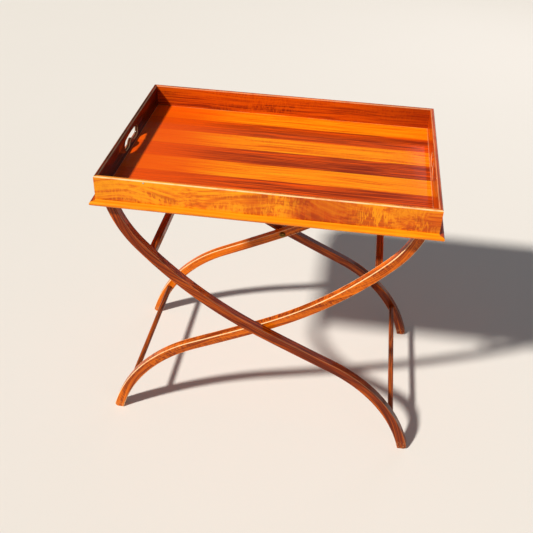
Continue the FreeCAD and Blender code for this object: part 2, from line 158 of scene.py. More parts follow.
class TableSettings(bpy.types.PropertyGroup):
    """All settings of the table."""
    tray: PointerProperty(type=TrayFinish, name="Tray")
    stand: PointerProperty(type=StandFinish, name="Stand")
    strap: PointerProperty(type=StrapFinish, name="Strap")
    studio: PointerProperty(type=StudioSettings, name="Studio")


# ---------------------------------------------------------------- shader helpers

SMOOTH = {"interpolation_type": "SMOOTHSTEP"}
COLOURS = {"data_type": "RGBA"}


def add(tree, kind, links=None, stops=None, **settings):
    """Add one node. links gives each input a value, a socket, or a node, whose first output in
    use is taken. A colour of three numbers is opaque. stops are those of a colour ramp."""
    node = tree.nodes.new("ShaderNode" + kind)
    for name, value in settings.items():
        setattr(node, name, value)
    if stops:
        ramp = node.color_ramp
        while len(ramp.elements) < len(stops):
            ramp.elements.new(0.5)
        for element, (position, colour) in zip(ramp.elements, stops):
            element.position = position
            element.color = (*colour, 1)[:4]
    for name, value in (links or {}).items():
        socket = node.inputs[name]
        if isinstance(value, bpy.types.Node):
            value = next(output for output in value.outputs if output.enabled)
        if isinstance(value, bpy.types.NodeSocket):
            tree.links.new(value, socket)
        else:
            socket.default_value = (*value, 1)[:4] if socket.type == "RGBA" else value
    return node


def new_material(name):
    """A material with no nodes but the one that gives the piece's own coordinates."""
    material = bpy.data.materials.new(name)
    material.use_nodes = True
    tree = material.node_tree
    tree.nodes.clear()
    return material, tree, add(tree, "TexCoord").outputs["Object"]


def mottled(tree, grain, along, across, detail=3.0, distortion=0.0, depth=None):
    """Uneven patches of this length and width in metres, lying along the grain."""
    scale = (1 / along, 1 / across, 1 / (depth or across))
    stretched = add(tree, "VectorMath", {0: grain, 1: scale}, operation="MULTIPLY")
    return add(tree, "TexNoise", {"Vector": stretched, "Scale": 1.0, "Detail": detail,
                                  "Distortion": distortion})


# ---------------------------------------------------------------- grain directions

def grain_along_x(tree, place):
    return place


def grain_along_y(tree, place):
    """Grain along Y, from another part of the log than the grain along X."""
    return add(tree, "Mapping", {"Vector": place, "Rotation": (0, 0, math.pi / 2),
                                 "Location": (3.1, 1.7, 0.4)})


def grain_per_board(tree, place):
    """Grain along X that starts afresh on each floor board."""
    board = bpy.context.scene.tray_table.tray.board
    front = -len(FLOOR_BOARDS) / 2 * board
    step_in_log = (3.7, 0.21, 1.3)
    y = add(tree, "SeparateXYZ", {0: place}).outputs[1]
    from_front = add(tree, "Math", {0: y, 1: front}, operation="SUBTRACT")
    in_boards = add(tree, "Math", {0: from_front, 1: board}, operation="DIVIDE")
    number = add(tree, "Math", {0: in_boards}, operation="FLOOR")
    shift = add(tree, "VectorMath", {0: step_in_log, "Scale": number}, operation="SCALE")
    return add(tree, "VectorMath", {0: place, 1: shift}, operation="ADD")


def grain_down_leg(way):
    """Grain that follows an ogee leg. way is 1 for legs that fall to the right, -1 for the others.

    The leg's centre falls at a slope of 0.51 by the crossing and turns down towards its ends."""
    half_span = 0.338
    crossing = 0.3035
    crossing_slope = 0.51
    end_sharpness = 8.0
    end_fall = 0.389
    end_slope = 3.5
    length_share = 0.75

    def grain(tree, place):
        parts = add(tree, "SeparateXYZ", {0: place})
        x = add(tree, "Math", {0: parts.outputs[0], 1: way}, operation="MULTIPLY")
        above = add(tree, "Math", {0: parts.outputs[2], 1: crossing}, operation="SUBTRACT")
        share = add(tree, "Math", {0: x, 1: half_span}, operation="DIVIDE")
        share = add(tree, "Math", {0: share}, operation="ABSOLUTE")
        turn_in = add(tree, "Math", {0: share, 1: end_sharpness}, operation="POWER")
        fall = add(tree, "Math", {0: turn_in, 1: end_fall, 2: crossing_slope}, operation="MULTIPLY_ADD")
        fall = add(tree, "Math", {0: x, 1: fall}, operation="MULTIPLY")
        slope = add(tree, "Math", {0: turn_in, 1: end_slope, 2: crossing_slope}, operation="MULTIPLY_ADD")
        steep = add(tree, "Math", {0: slope, 1: slope, 2: 1.0}, operation="MULTIPLY_ADD")
        steep = add(tree, "Math", {0: steep}, operation="SQRT")
        across = add(tree, "Math", {0: above, 1: fall}, operation="ADD")
        across = add(tree, "Math", {0: across, 1: steep}, operation="DIVIDE")
        along = add(tree, "Math", {0: x, 1: above}, operation="SUBTRACT")
        along = add(tree, "Math", {0: along, 1: length_share}, operation="MULTIPLY")
        return add(tree, "CombineXYZ", {0: along, 1: across, 2: parts.outputs[1]})
    return grain


def wandering(tree, grain, wander):
    """Grain that wanders from side to side over about 0.2 m."""
    drift = add(tree, "TexNoise", {"Vector": grain, "Scale": 4.5, "Detail": 1.0})
    centred = add(tree, "VectorMath", {0: drift.outputs["Color"], 1: (0.5, 0.5, 0.5)},
                  operation="SUBTRACT")
    bent = add(tree, "VectorMath", {0: centred, 1: (0.0, wander, wander)}, operation="MULTIPLY")
    return add(tree, "VectorMath", {0: grain, 1: bent}, operation="ADD")


# ---------------------------------------------------------------- parts of the mahogany finish

def streaked_wood(tree, wood, lines, shades, streaks, contrast):
    """Bands 20 mm wide under fine lines, coloured from the deep shade through middle to bright."""
    deep, middle, bright = shades
    bands = mottled(tree, wood, 550 * MM, 20 * MM, detail=2.0, distortion=0.4)
    band = add(tree, "MapRange", {0: bands, 1: 0.30, 2: 0.70}, **SMOOTH)
    band = add(tree, "Math", {0: band, 1: 1.0 - streaks}, operation="MULTIPLY")
    line = add(tree, "MapRange", {0: lines, 1: 0.32, 2: 0.68}, **SMOOTH)
    line = add(tree, "Math", {0: line, 1: streaks}, operation="MULTIPLY")
    tone = add(tree, "Math", {0: band, 1: line}, operation="ADD")
    return add(tree, "ValToRGB", {0: tone},
               stops=[(0.5 - contrast, deep), (0.50, middle), (0.5 + contrast, bright)])


def rippled(tree, wood, colour, deep, bright, ripple, regions):
    """Cross-grain flames, bright with a dark edge, in patches. Regions stain the wood first."""
    spacing = bpy.context.scene.tray_table.tray.ripple
    flame_length = spacing * 3.2
    dark_edge = 0.28
    flames = mottled(tree, wood, spacing, flame_length, distortion=1.0)
    patches = mottled(tree, wood, 200 * MM, 30 * MM, distortion=0.8)
    strength = ripple
    if regions:
        stain = region_stain(tree, wood, regions)
        colour = add(tree, "Mix", {0: 1.0, 6: colour, 7: stain}, blend_type="MULTIPLY", **COLOURS)
        bright = add(tree, "Mix", {0: 0.5, 6: bright, 7: stain}, blend_type="MULTIPLY", **COLOURS)
        strength = add(tree, "Math", {0: stain.outputs["Alpha"], 1: ripple}, operation="MULTIPLY")
    flame = add(tree, "MapRange", {0: flames, 1: 0.42, 2: 0.60}, **SMOOTH)
    patch = add(tree, "MapRange", {0: patches, 1: 0.36, 2: 0.60}, **SMOOTH)
    figure = add(tree, "Math", {0: flame, 1: patch}, operation="MULTIPLY")
    figure = add(tree, "Math", {0: figure, 1: strength}, operation="MULTIPLY")
    colour = add(tree, "Mix", {0: figure, 6: colour, 7: bright}, **COLOURS)
    edge = add(tree, "MapRange", {0: flames, 1: 0.46, 2: 0.34}, **SMOOTH)
    patch = add(tree, "MapRange", {0: patches, 1: 0.40, 2: 0.60}, **SMOOTH)
    shadow = add(tree, "Math", {0: edge, 1: patch}, operation="MULTIPLY")
    depth = add(tree, "Math", {0: strength, 1: dark_edge}, operation="MULTIPLY")
    shadow = add(tree, "Math", {0: shadow, 1: depth}, operation="MULTIPLY")
    return add(tree, "Mix", {0: shadow, 6: colour, 7: deep}, **COLOURS)


def region_stain(tree, wood, regions):
    """A ramp along X over the tray's length: its colour stains the wood, its alpha is the ripple."""
    low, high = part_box("tray_front_side")
    blur = 0.06
    x = add(tree, "SeparateXYZ", {0: wood}).outputs[0]
    x = add(tree, "Math", {0: x, 1: blur / 2}, operation="SUBTRACT")
    uneven = mottled(tree, wood, 50 * MM, 25 * MM, detail=2.0)
    x = add(tree, "Math", {0: uneven, 1: blur, 2: x}, operation="MULTIPLY_ADD")
    share = add(tree, "MapRange", {0: x, 1: low.x, 2: high.x})
    stops = [((position - low.x) / (high.x - low.x), stain) for position, *stain in regions]
    return add(tree, "ValToRGB", {0: share}, stops=stops)


def washed(tree, place, wood, colour, axis, start, end, wash, most):
    """Wood that turns to a wash from start to end on an axis, with an uneven edge."""
    reach = end - start
    position = add(tree, "SeparateXYZ", {0: place}).outputs[axis]
    uneven = mottled(tree, wood, 110 * MM, 12 * MM, detail=2.0)
    position = add(tree, "Math", {0: uneven, 1: reach * 0.5, 2: position}, operation="MULTIPLY_ADD")
    amount = add(tree, "MapRange", {0: position, 1: start + reach * 0.25, 2: end + reach * 0.25,
                                    4: most}, **SMOOTH)
    return add(tree, "Mix", {0: amount, 6: colour, 7: wash}, **COLOURS)


def arris_highlight_and_wear_amount(tree, place, node, axis, reach, most):
    """How much the arrises are painted pale, a painted highlight with some rubbed wear, from the distance
    to the node's flat faces on this axis.
    The faces themselves, which lie within 0.02 mm of that distance, keep their colour."""
    low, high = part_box(node)
    near, far = sorted((abs(low[axis]), abs(high[axis])))
    position = add(tree, "SeparateXYZ", {0: place}).outputs[axis]
    position = add(tree, "Math", {0: position}, operation="ABSOLUTE")
    from_near = add(tree, "Math", {0: position, 1: near}, operation="SUBTRACT")
    from_near = add(tree, "Math", {0: from_near}, operation="ABSOLUTE")
    from_far = add(tree, "Math", {0: position, 1: far}, operation="SUBTRACT")
    from_far = add(tree, "Math", {0: from_far}, operation="ABSOLUTE")
    depth = add(tree, "Math", {0: from_near, 1: from_far}, operation="MINIMUM")
    off_face = add(tree, "MapRange", {0: depth, 1: 0.02 * MM, 2: 0.12 * MM}, **SMOOTH)
    on_arris = add(tree, "MapRange", {0: depth, 1: reach, 2: reach * 0.6}, **SMOOTH)
    band = add(tree, "Math", {0: off_face, 1: on_arris}, operation="MULTIPLY")
    patchiness = mottled(tree, place, 20 * MM, 20 * MM)
    patchiness = add(tree, "MapRange", {0: patchiness, 1: 0.30, 2: 0.55, 3: most * 0.6, 4: most}, **SMOOTH)
    return add(tree, "Math", {0: band, 1: patchiness}, operation="MULTIPLY")


def painted_corner_highlight(tree, place):
    """How much painted highlight lies where the floor meets the four walls: a pale line 1.5 mm wide."""
    line = 1.5 * MM
    inside_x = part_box("tray_right_end")[0].x
    inside_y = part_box("tray_rear_side")[0].y
    parts = add(tree, "SeparateXYZ", {0: place})
    x = add(tree, "Math", {0: parts.outputs[0]}, operation="ABSOLUTE")
    y = add(tree, "Math", {0: parts.outputs[1]}, operation="ABSOLUTE")
    by_end = add(tree, "Math", {0: x, 1: inside_x}, operation="SUBTRACT")
    by_side = add(tree, "Math", {0: y, 1: inside_y}, operation="SUBTRACT")
    nearer = add(tree, "Math", {0: by_end, 1: by_side}, operation="MAXIMUM")
    in_line = add(tree, "MapRange", {0: nearer, 1: -line, 2: -line * 0.6}, **SMOOTH)
    corner_line = mottled(tree, place, 30 * MM, 30 * MM)
    corner_line = add(tree, "MapRange", {0: corner_line, 1: 0.35, 2: 0.60, 3: 0.15, 4: 0.6}, **SMOOTH)
    return add(tree, "Math", {0: in_line, 1: corner_line}, operation="MULTIPLY")


def foot_scuffs(tree, place, top):
    """How much the film is scuffed, in spots about 4 mm wide that thicken towards the floor."""
    height = add(tree, "SeparateXYZ", {0: place}).outputs[2]
    low_down = add(tree, "MapRange", {0: height, 1: top, 2: top * 0.2}, **SMOOTH)
    spots = mottled(tree, place, 4 * MM, 4 * MM)
    spots = add(tree, "MapRange", {0: spots, 1: 0.50, 2: 0.62}, **SMOOTH)
    return add(tree, "Math", {0: low_down, 1: spots}, operation="MULTIPLY")


# ---------------------------------------------------------------- finishes

def mahogany(name, grain, deep, middle, bright, ripple=0.0, streaks=0.5, shine=0.24, wander=0.03,
             contrast=0.40, regions=None, washes=(), arris_highlight_and_wear=None, corner_highlight_line=False, worn_below=None):
    """French-polished mahogany: long streaky grain, open pores filled dark, cross-grain ripple
    figure in patches, under a thin clear film that is smooth and a little uneven.

    regions are (X, red, green, blue, ripple): stain and ripple of the board from left to right.
    washes are (axis, start, end, colour, most): the wood turns to a colour along an axis.
    arris_highlight_and_wear is (node, axis, reach, most): where the arrises of its two flat faces are
    painted pale, a painted highlight with some rubbed wear."""
    tray = bpy.context.scene.tray_table.tray
    material, tree, place = new_material(name)
    wood = wandering(tree, grain(tree, place), wander)
    lines = mottled(tree, wood, 160 * MM, 3.2 * MM)
    colour = streaked_wood(tree, wood, lines, (deep, middle, bright), streaks, contrast)
    if ripple:
        colour = rippled(tree, wood, colour, deep, bright, ripple, regions)
    for wash in washes:
        colour = washed(tree, place, wood, colour, *wash)
    # pores are 0.2 mm wide on the real wood; they are drawn 0.5 mm wide, so that they show
    pores = mottled(tree, wood, 11 * MM, 0.5 * MM, detail=1.0)
    pore = add(tree, "MapRange", {0: pores, 1: 0.60, 2: 0.72}, **SMOOTH)
    filled = add(tree, "Math", {0: pore, 1: 0.42}, operation="MULTIPLY")
    colour = add(tree, "Mix", {0: filled, 6: colour, 7: deep}, **COLOURS)
    # pale arrises: a painted highlight, with some rubbed wear
    if arris_highlight_and_wear:
        arris_light_and_wear = arris_highlight_and_wear_amount(tree, place, *arris_highlight_and_wear)
        colour = add(tree, "Mix", {0: arris_light_and_wear, 6: colour, 7: tray.arris_highlight_and_wear}, **COLOURS)
    # painted highlight, a pale line along the floor's joints with the walls
    if corner_highlight_line:
        corner_line = painted_corner_highlight(tree, place)
        colour = add(tree, "Mix", {0: corner_line, 6: colour, 7: tray.corner_highlight}, **COLOURS)
    rough = add(tree, "Math", {0: lines, 1: 0.16, 2: shine + 0.04}, operation="MULTIPLY_ADD")
    if worn_below:
        scuffs = foot_scuffs(tree, place, worn_below)
        bare = add(tree, "Math", {0: scuffs, 1: 0.55}, operation="MULTIPLY")
        colour = add(tree, "Mix", {0: bare, 6: colour, 7: tray.scuffed}, **COLOURS)
        rough = add(tree, "Math", {0: scuffs, 1: 0.3, 2: rough}, operation="MULTIPLY_ADD")

    raised = add(tree, "Math", {0: lines, 1: 0.6}, operation="MULTIPLY")
    height = add(tree, "Math", {0: pore, 1: -0.7, 2: raised}, operation="MULTIPLY_ADD")
    grain_relief = add(tree, "Bump", {"Height": height, "Strength": 0.35, "Distance": 0.2 * MM})
    film = mottled(tree, place, 20 * MM, 20 * MM, detail=2.0)
    film_relief = add(tree, "Bump", {"Height": film, "Strength": 0.25, "Distance": 0.5 * MM})
    shader = add(tree, "BsdfPrincipled", {
        "Base Color": colour, "Roughness": rough, "Normal": grain_relief, "IOR": 1.5,
        "Specular IOR Level": 0.05, "Coat Weight": 0.35, "Coat Roughness": 0.1, "Coat IOR": 1.45,
        "Coat Normal": film_relief})
    add(tree, "OutputMaterial", {"Surface": shader})
    return material


def aged_brass():
    """Turned brass, polished once and now browned, and darker still as painted shade: warm metal, duller
    where the film is thick.
    """
    stand = bpy.context.scene.tray_table.stand
    material, tree, place = new_material("aged_brass")
    film = mottled(tree, place, 4 * MM, 4 * MM, detail=4.0)
    film = add(tree, "MapRange", {0: film, 1: 0.42, 2: 0.66}, **SMOOTH)
    # the brown film is tarnish, laid on thick enough to stand also as painted shade on the screw heads
    # under the tray
    tarnish_and_shade = add(tree, "Math", {0: film, 1: 0.4, 2: 0.58}, operation="MULTIPLY_ADD")
    colour = add(tree, "Mix", {0: tarnish_and_shade, 6: stand.brass, 7: stand.tarnish}, **COLOURS)
    rough = add(tree, "Math", {0: film, 1: 0.25, 2: 0.22}, operation="MULTIPLY_ADD")
    # turning lines, drawn 0.2 mm apart
    turning = mottled(tree, place, 0.2 * MM, 0.2 * MM, detail=1.0, depth=4 * MM)
    relief = add(tree, "Bump", {"Height": turning, "Strength": 0.2, "Distance": 0.04 * MM})
    shader = add(tree, "BsdfPrincipled", {"Base Color": colour, "Roughness": rough, "Normal": relief,
                                          "Metallic": 1.0})
    add(tree, "OutputMaterial", {"Surface": shader})
    return material


def pin_steel():
    """Drawn steel pin: grey metal with fine scratches and a little rust."""
    stand = bpy.context.scene.tray_table.stand
    material, tree, place = new_material("pin_steel")
    rust = mottled(tree, place, 0.6 * MM, 0.6 * MM)
    rust = add(tree, "MapRange", {0: rust, 1: 0.56, 2: 0.70}, **SMOOTH)
    colour = add(tree, "Mix", {0: rust, 6: stand.steel, 7: stand.rust}, **COLOURS)
    rough = add(tree, "Math", {0: rust, 1: 0.4, 2: 0.28}, operation="MULTIPLY_ADD")
    scratches = mottled(tree, place, 2 * MM, 0.1 * MM, detail=1.0)
    relief = add(tree, "Bump", {"Height": scratches, "Strength": 0.2, "Distance": 0.03 * MM})
    shader = add(tree, "BsdfPrincipled", {"Base Color": colour, "Roughness": rough, "Normal": relief,
                                          "Metallic": 1.0})
    add(tree, "OutputMaterial", {"Surface": shader})
    return material


def jute_webbing():
    """Plain-woven jute: matte yarn over and under, dirt and painted shade between the threads, stray
    fibres.
    """
    strap = bpy.context.scene.tray_table.strap
    material, tree, place = new_material("jute_webbing")
    # one UV unit is one metre of webbing
    flat = add(tree, "SeparateXYZ", {0: add(tree, "TexCoord").outputs["UV"]})
    threads = []
    humps = []
    for output in flat.outputs[:2]:
        thread = add(tree, "Math", {0: output, 1: strap.thread}, operation="DIVIDE")
        wave = add(tree, "Math", {0: thread, 1: math.pi}, operation="MULTIPLY")
        wave = add(tree, "Math", {0: wave}, operation="SINE")
        humps.append(add(tree, "Math", {0: wave}, operation="ABSOLUTE"))
        threads.append(add(tree, "Math", {0: thread}, operation="FLOOR"))
    checks = add(tree, "Math", {0: threads[0], 1: threads[1]}, operation="ADD")
    over = add(tree, "Math", {0: checks, 1: 1.0}, operation="PINGPONG")
    height = add(tree, "Mix", {0: over, 2: humps[0], 3: humps[1]}, data_type="FLOAT")
    fibres = mottled(tree, place, 6 * MM, 0.4 * MM, detail=2.0)
    stained = mottled(tree, place, 50 * MM, 20 * MM, detail=2.0)
    # darker between the threads: dirt, and painted shade in the hollows of the weave
    dirt_and_shade = add(tree, "MapRange", {0: height, 1: 0.75, 2: 0.05}, **SMOOTH)
    dirt_and_shade = add(tree, "Math", {0: dirt_and_shade, 1: 0.85}, operation="MULTIPLY")
    pale = add(tree, "MapRange", {0: fibres, 1: 0.35, 2: 0.7, 4: 0.45}, **SMOOTH)
    brown = add(tree, "MapRange", {0: stained, 1: 0.45, 2: 0.75, 4: 0.35}, **SMOOTH)
    yarn = add(tree, "Mix", {0: pale, 6: strap.yarn, 7: strap.pale_fibre}, **COLOURS)
    yarn = add(tree, "Mix", {0: brown, 6: yarn, 7: strap.stain}, **COLOURS)
    colour = add(tree, "Mix", {0: dirt_and_shade, 6: yarn, 7: strap.shade}, **COLOURS)
    hairy = add(tree, "Math", {0: fibres, 1: 0.3, 2: height}, operation="MULTIPLY_ADD")
    relief = add(tree, "Bump", {"Height": hairy, "Strength": 0.8, "Distance": 0.4 * MM})
    shader = add(tree, "BsdfPrincipled", {"Base Color": colour, "Roughness": 0.92, "Normal": relief,
                                          "Sheen Weight": 0.15, "Sheen Roughness": 0.5})
    add(tree, "OutputMaterial", {"Surface": shader})
    return material


def studio_paper():
    """Matte paper floor with the faintest mottle, in patches about 0.4 m wide."""
    studio = bpy.context.scene.tray_table.studio
    material, tree, place = new_material("studio_paper")
    shaded = mottled(tree, place, 400 * MM, 400 * MM, detail=2.0)
    shaded = add(tree, "MapRange", {0: shaded, 1: 0.3, 2: 0.7, 4: 0.06}, **SMOOTH)
    colour = add(tree, "Mix", {0: shaded, 6: studio.ground, 7: studio.ground_shade}, **COLOURS)
    shader = add(tree, "BsdfPrincipled", {"Base Color": colour, "Roughness": 0.95,
                                          "Specular IOR Level": 0.1})
    add(tree, "OutputMaterial", {"Surface": shader})
    return material


# ---------------------------------------------------------------- pieces

def finish_nodes(names, material):
    """Give CAD nodes their finish."""
    for name in names:
        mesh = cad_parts[name].data
        mesh.materials.clear()
        mesh.materials.append(material)


def only(piece):
    """Select one object and nothing else."""
    bpy.ops.object.select_all(action="DESELECT")
    piece.select_set(True)
    bpy.context.view_layer.objects.active = piece


def apply_modifiers(piece):
    """Apply all modifiers of one object, in order."""
    only(piece)
    for modifier in list(piece.modifiers):
        bpy.ops.object.modifier_apply(modifier=modifier.name)


class TRAYTABLE_OT_long_sides(bpy.types.Operator):
    """Finish the front side in golden ripple mahogany and the rear side in red mahogany"""
    bl_idname = "traytable.long_sides"
    bl_label = "Long sides"
    # X, then the stain's red, green and blue, then how strong the ripple is
    regions = [
        (-0.335, 0.86, 0.80, 0.7, 0.5), (-0.230, 1.00, 1.00, 0.9, 0.7),
        (-0.140, 0.98, 0.92, 0.8, 0.9), (-0.040, 1.00, 1.00, 0.9, 0.8),
        (-0.015, 0.82, 0.65, 0.6, 0.6), (0.030, 1.00, 1.00, 0.8, 1.0),
        (0.075, 0.70, 0.42, 0.3, 0.2), (0.155, 0.70, 0.42, 0.3, 0.2),
        (0.205, 0.96, 0.88, 0.6, 1.0), (0.260, 0.82, 0.62, 0.4, 0.7),
        (0.335, 0.86, 0.66, 0.4, 0.6)]

    def execute(self, context):
        tray = context.scene.tray_table.tray
        # the rims' arrises carry a painted highlight, strongest on the front side
        front = mahogany("rippled_mahogany", grain_along_x, tray.russet, tray.amber, tray.gold,
                         ripple=1.0, streaks=0.35, wander=0.12, contrast=0.26, regions=self.regions,
                         arris_highlight_and_wear=("tray_front_side", 1, 2.6 * MM, 0.75))
        rear = mahogany("red_mahogany", grain_along_x, tray.dark_board_grain, tray.red,
                        tray.light_board_grain, ripple=0.5, streaks=0.65, wander=0.015,
                        washes=[(0, 0.05, 0.33, tray.deep_red, 0.6)],
                        arris_highlight_and_wear=("tray_rear_side", 1, 2.6 * MM, 0.3))
        finish_nodes(["tray_front_side"], front)
        finish_nodes(["tray_rear_side"], rear)
        return {"FINISHED"}


class TRAYTABLE_OT_ends(bpy.types.Operator):
    """Model the two ends with eased hand holes; finish the right one in red mahogany and the left one in
    dark mahogany, which is painted shade
    """
    bl_idname = "traytable.ends"
    bl_label = "Ends with hand holes"

    def execute(self, context):
        tray = context.scene.tray_table.tray
        # painted shade: the left end gets a dark finish for the shade on it, the right end the red wood
        dark = mahogany("shaded_end_mahogany", grain_along_y, tray.shaded_end_grain, tray.end, tray.deep_red,
                        streaks=0.6, arris_highlight_and_wear=("tray_left_end", 0, 2.6 * MM, 0.16))
        red = mahogany("red_end_mahogany", grain_along_y, tray.deep_red, tray.red, tray.light_board_grain,
                       streaks=0.7, arris_highlight_and_wear=("tray_right_end", 0, 2.6 * MM, 0.25))
        self.model("tray_left_end", dark)
        self.model("tray_right_end", red)
        return {"FINISHED"}

    def model(self, node, finish):
        """Copy the CAD end, make its flat faces whole and round the edges of its hand hole."""
        # the box round the hand hole: half its length along Y, and its lowest and highest Z
        hole_reach = 0.055
        hole_low = 0.615
        hole_high = 0.650
        weld = 0.01 * MM
        same_place = 0.1 * MM
        easing = 1.4 * MM
        fewest_edges = 20
        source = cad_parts[node]
        panel = bpy.data.objects.new(node + "_eased", source.data.copy())
        bpy.context.scene.collection.objects.link(panel)
        only(panel)
        bpy.ops.object.mode_set(mode="EDIT")
        bpy.ops.mesh.select_all(action="SELECT")
        bpy.ops.mesh.customdata_custom_splitnormals_clear()
        bpy.ops.mesh.remove_doubles(threshold=weld)
        bpy.ops.mesh.dissolve_limited(angle_limit=math.radians(0.4))
        bpy.ops.mesh.select_all(action="DESELECT")
        bpy.ops.object.mode_set(mode="OBJECT")
        mesh = panel.data
        mesh.materials.clear()
        mesh.materials.append(finish)
        picked = 0
        for edge in mesh.edges:
            a, b = (mesh.vertices[v].co for v in edge.vertices)
            on_face = abs(a.x - b.x) < same_place
            in_hole = all(abs(p.y) < hole_reach and hole_low < p.z < hole_high for p in (a, b))
            edge.select = on_face and in_hole
            picked += edge.select
        if picked < fewest_edges:
            raise RuntimeError("the hand hole's edges were not found on " + node)
        bpy.context.tool_settings.mesh_select_mode = (False, True, False)
        bpy.ops.object.mode_set(mode="EDIT")
        bpy.ops.mesh.bevel(offset=easing, offset_type="OFFSET", segments=3, profile=0.5, affect="EDGES")
        bpy.ops.object.mode_set(mode="OBJECT")
        only(panel)
        bpy.ops.object.shade_smooth_by_angle(angle=math.radians(32))
        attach(panel, "tray")
        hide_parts(node)


class TRAYTABLE_OT_lips(bpy.types.Operator):
    """Finish the lip mouldings round the bottom of the tray"""
    bl_idname = "traytable.lips"
    bl_label = "Lip mouldings"

    def execute(self, context):
        tray = context.scene.tray_table.tray
        low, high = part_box("front_lip")
        # painted highlight: the lips turn golden towards their top
        lip_highlight = [(2, low.z, high.z, tray.gold, 0.7)]
        long_finish = mahogany("lip_mahogany", grain_along_x, tray.russet, tray.amber, tray.gold,
                               streaks=0.5, shine=0.2, washes=lip_highlight)
        short_finish = mahogany("end_lip_mahogany", grain_along_y, tray.deep_red, tray.red, tray.amber,
                                streaks=0.5, shine=0.2)
        finish_nodes(["front_lip", "rear_lip"], long_finish)
        finish_nodes(["left_lip", "right_lip"], short_finish)
        return {"FINISHED"}


class TRAYTABLE_OT_floor_boards(bpy.types.Operator):
    """Finish the light and dark boards of the tray's floor"""
    bl_idname = "traytable.floor_boards"
    bl_label = "Floor boards"

    def execute(self, context):
        tray = context.scene.tray_table.tray
        # the boards share one sunned colour at the left, and their own from the middle on
        left = -0.27
        middle = -0.03
        # both kinds of board get the painted highlight line along the walls
        light = mahogany("light_board_mahogany", grain_per_board, tray.light_board_grain, tray.light_board,
                         tray.gold, ripple=0.25, streaks=0.75, wander=0.012,
                         washes=[(0, middle, left, tray.sunned, 0.85)], corner_highlight_line=True)
        dark = mahogany("dark_board_mahogany", grain_per_board, tray.dark_board_grain, tray.dark_board,
                        tray.sunned, streaks=0.75, wander=0.012,
                        washes=[(0, middle, left, tray.sunned, 0.8)], corner_highlight_line=True)
        finish_nodes(FLOOR_BOARDS[0::2], light)
        finish_nodes(FLOOR_BOARDS[1::2], dark)
        return {"FINISHED"}


class TRAYTABLE_OT_legs(bpy.types.Operator):
    """Finish the four ogee legs, with the grain running down each"""
    bl_idname = "traytable.legs"
    bl_label = "Legs"

    def execute(self, context):
        stand = context.scene.tray_table.stand
        # the inner legs' arrises get far more painted highlight than the outer legs'
        outer = mahogany("outer_leg_mahogany", grain_down_leg(1), stand.outer_grain, stand.outer,
                         stand.inner, streaks=0.55, arris_highlight_and_wear=("outer_front_leg", 1, 2.0 * MM, 0.12),
                         worn_below=0.03)
        inner = mahogany("inner_leg_mahogany", grain_down_leg(-1), stand.inner_grain, stand.inner,
                         context.scene.tray_table.tray.amber, ripple=0.6, streaks=0.45, contrast=0.28,
                         arris_highlight_and_wear=("inner_front_leg", 1, 2.6 * MM, 0.8), worn_below=0.03)
        finish_nodes(["outer_front_leg", "outer_rear_leg"], outer)
        finish_nodes(["inner_front_leg", "inner_rear_leg"], inner)
        return {"FINISHED"}


class TRAYTABLE_OT_rails(bpy.types.Operator):
    """Finish the square rails and the round stretchers"""
    bl_idname = "traytable.rails"
    bl_label = "Rails and stretchers"

    def execute(self, context):
        stand = context.scene.tray_table.stand
        finish = mahogany("rail_mahogany", grain_along_y, stand.rail_grain, stand.rail, stand.inner,
                          streaks=0.6, shine=0.3)
        finish_nodes(["outer_upper_rail", "outer_lower_stretcher", "inner_upper_rail",
                      "inner_lower_stretcher"], finish)
        return {"FINISHED"}


class TRAYTABLE_OT_metalwork(bpy.types.Operator):
    """Finish the pivot screws, washers and tacks in brass and the small pins in steel"""
    bl_idname = "traytable.metalwork"
    bl_label = "Screws, tacks and pins"

    def execute(self, context):
        finish_nodes(["front_pivot_screw", "rear_pivot_screw", "pivot_washers", "outer_strap_tacks",
                      "inner_strap_tacks"], aged_brass())
        finish_nodes(["rim_pin", "lip_pins"], pin_steel())
        return {"FINISHED"}


